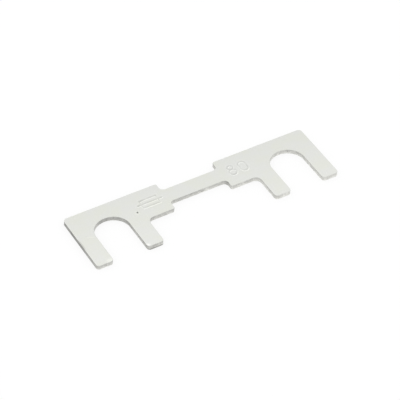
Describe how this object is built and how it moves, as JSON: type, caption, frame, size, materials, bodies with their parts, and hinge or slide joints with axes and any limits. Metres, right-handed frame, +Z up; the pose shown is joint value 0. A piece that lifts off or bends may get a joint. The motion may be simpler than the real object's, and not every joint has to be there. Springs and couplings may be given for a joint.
{
  "type": "bolt-down strip fuse",
  "caption": "Flat stamped strip fuse: forked end pads with bolt slots open to one side, joined by a narrow fusible link.",
  "frame": {"origin": "midway between the two bolt centres, on the underside that lies on the terminals; it is also the centre of the strip's outline", "axes": "+X along the strip from one bolt to the other, +Y towards the unbroken back edge, so the slots open to -Y, and +Z up out of the face that the bolt heads press on"},
  "size_m": [0.041, 0.0112, 0.0008],
  "materials": {
    "tinned_zinc": "dull tinned zinc sheet, pale and matt, with darker sheared edges"
  },
  "bodies": {
    "root": {"fuse_strip": "tinned_zinc"}
  },
  "joints": []
}
